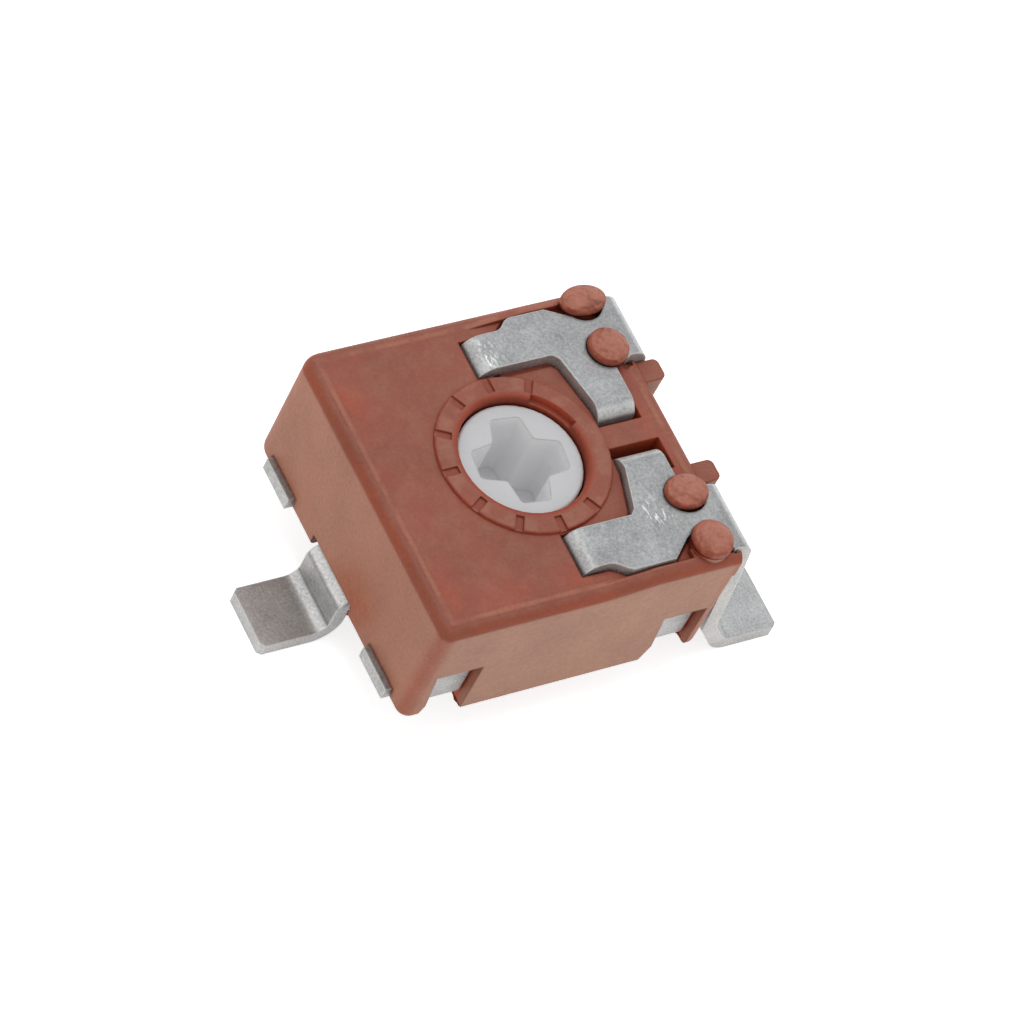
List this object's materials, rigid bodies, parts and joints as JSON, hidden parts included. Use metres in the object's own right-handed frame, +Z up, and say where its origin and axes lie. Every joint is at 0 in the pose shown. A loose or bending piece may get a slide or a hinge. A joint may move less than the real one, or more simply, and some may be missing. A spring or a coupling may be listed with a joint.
{
  "type": "surface-mount trimming potentiometer",
  "caption": "Surface-mount trimming potentiometer: square red-brown housing, white rotor with a cross slot in a marked ring, staked end terminals and a collector plate, bent solder feet.",
  "frame": {"origin": "on the rotor's axis at the circuit board's surface, where the solder feet stand", "axes": "+Z up out of the board along the rotor's axis; +X towards the side of the two end terminals; -X towards the collector's foot; +Y towards the back end terminal"},
  "size_m": [0.0104, 0.0065, 0.0044],
  "materials": {
    "red_brown_plastic": "matte",
    "tinned_sheet": "satin",
    "phenolic_board": "matte",
    "carbon_film": "matte",
    "silver_film": "satin",
    "white_plastic": "matte",
    "spring_metal": "satin"
  },
  "bodies": {
    "base": {"housing": "red_brown_plastic", "end_terminal_back": "tinned_sheet", "end_terminal_front": "tinned_sheet", "collector_plate": "tinned_sheet", "element_board": "phenolic_board", "carbon_track": "carbon_film", "end_pad_back": "silver_film", "end_pad_front": "silver_film"},
    "rotor_group": {"rotor": "white_plastic", "wiper": "spring_metal"}
  },
  "joints": [
    {"name": "rotor_turn", "type": "hinge", "parent": "base", "child": "rotor_group", "pos_m": [0, 0, 0.00387], "axis": [0, 0, 1], "range_deg": [-110.5, 124.5]}
  ]
}
